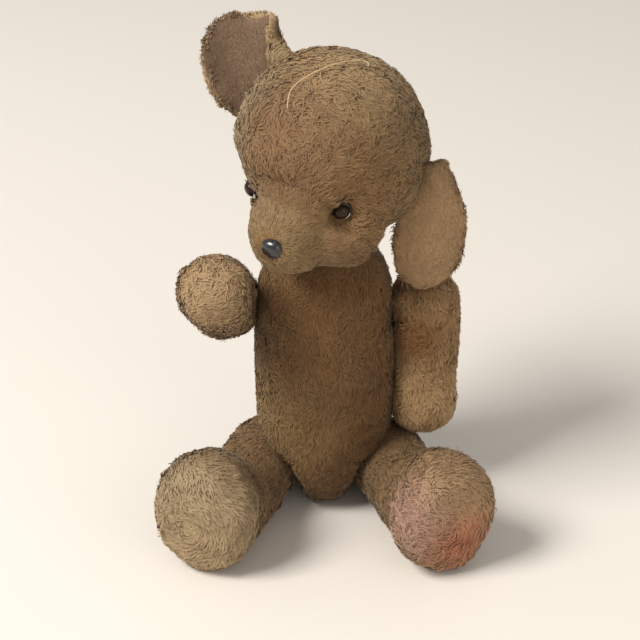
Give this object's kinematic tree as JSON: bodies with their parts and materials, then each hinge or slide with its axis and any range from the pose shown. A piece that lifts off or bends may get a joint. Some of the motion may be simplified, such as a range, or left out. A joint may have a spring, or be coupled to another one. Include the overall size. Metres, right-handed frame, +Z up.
{
  "type": "plush dog",
  "caption": "Seated plush dog with a domed round head, short muzzle, disc-jointed neck, arms and legs, one raised ear and one hanging ear.",
  "frame": {"origin": "middle of the flat seat under the torso, on the surface the dog sits on", "axes": "+Z up, the chest faces -Y, the dog's own left side is +X"},
  "size_m": [0.246, 0.2068, 0.3997],
  "materials": {
    "pile": "worn woven pile plush, golden brown",
    "muzzle_pile": "worn, greyed pile plush",
    "sole_pile": "worn pile plush, faded",
    "ear_lining": "short pile, rubbed smooth",
    "felt": "torn black felt",
    "wood_wool": "packed wood wool",
    "card": "grey board",
    "steel": "plain steel",
    "eye": "polished, very dark brown",
    "nose": "polished black"
  },
  "bodies": {
    "torso": {"torso_front_left": "pile", "torso_front_right": "pile", "torso_back_left": "pile", "torso_back_right": "pile", "torso_stuffing": "wood_wool", "neck_disc_torso": "card", "arm_disc_torso_left": "card", "arm_disc_torso_right": "card", "leg_disc_torso_left": "card", "leg_disc_torso_right": "card", "torso_joint_washers": "steel"},
    "head": {"head_gusset": "pile", "head_side_left": "pile", "head_side_right": "pile", "muzzle_top": "muzzle_pile", "muzzle_chin": "muzzle_pile", "head_stuffing": "wood_wool", "muzzle_stuffing": "wood_wool", "eye_left": "eye", "eye_right": "eye", "eye_felt_left": "felt", "eye_felt_right": "felt", "eye_washers": "steel", "nose": "nose", "nose_washer": "steel", "neck_disc_head": "card", "neck_washer_head": "steel", "neck_pin": "steel"},
    "arm_left": {"arm_left_outer": "pile", "arm_left_inner": "pile", "arm_left_stuffing": "wood_wool", "arm_left_disc": "card", "arm_left_washer": "steel", "arm_left_pin": "steel"},
    "arm_right": {"arm_right_outer": "pile", "arm_right_inner": "pile", "arm_right_stuffing": "wood_wool", "arm_right_disc": "card", "arm_right_washer": "steel", "arm_right_pin": "steel"},
    "leg_left": {"leg_left_outer": "pile", "leg_left_inner": "pile", "leg_left_sole": "sole_pile", "leg_left_stuffing": "wood_wool", "leg_left_disc": "card", "leg_left_washer": "steel", "leg_left_pin": "steel"},
    "leg_right": {"leg_right_outer": "pile", "leg_right_inner": "pile", "leg_right_sole": "sole_pile", "leg_right_stuffing": "wood_wool", "leg_right_disc": "card", "leg_right_washer": "steel", "leg_right_pin": "steel"},
    "ear_left": {"ear_left_plush": "pile", "ear_left_lining": "ear_lining"},
    "ear_right": {"ear_right_plush": "pile", "ear_right_lining": "ear_lining"}
  },
  "joints": [
    {"name": "neck_turn", "type": "hinge", "parent": "torso", "child": "head", "pos_m": [0.004, -0.004, 0.2403], "axis": [0, 0, 1], "range_deg": [-5, 60]},
    {"name": "arm_left_swing", "type": "hinge", "parent": "torso", "child": "arm_left", "pos_m": [0.08009, 0, 0.176], "axis": [-1, 0, 0], "range_deg": [-35, 70]},
    {"name": "arm_right_swing", "type": "hinge", "parent": "torso", "child": "arm_right", "pos_m": [-0.08009, 0, 0.176], "axis": [-1, 0, 0], "range_deg": [-150, 0]},
    {"name": "leg_left_swing", "type": "hinge", "parent": "torso", "child": "leg_left", "pos_m": [0.04884, 0, 0.0315], "axis": [0.9336, 0.3584, 0], "range_deg": [0, 60]},
    {"name": "leg_right_swing", "type": "hinge", "parent": "torso", "child": "leg_right", "pos_m": [-0.04884, 0, 0.0315], "axis": [0.9336, -0.3584, 0], "range_deg": [0, 60]},
    {"name": "ear_left_flop", "type": "hinge", "parent": "head", "child": "ear_left", "pos_m": [0.08399, -0.02, 0.30509], "axis": [-1, 0, 0], "range_deg": [0, 60]},
    {"name": "ear_right_flop", "type": "hinge", "parent": "head", "child": "ear_right", "pos_m": [-0.04298, 0.01599, 0.33508], "axis": [0.8681, 0.2495, 0.4291], "range_deg": [-40, 10]}
  ]
}
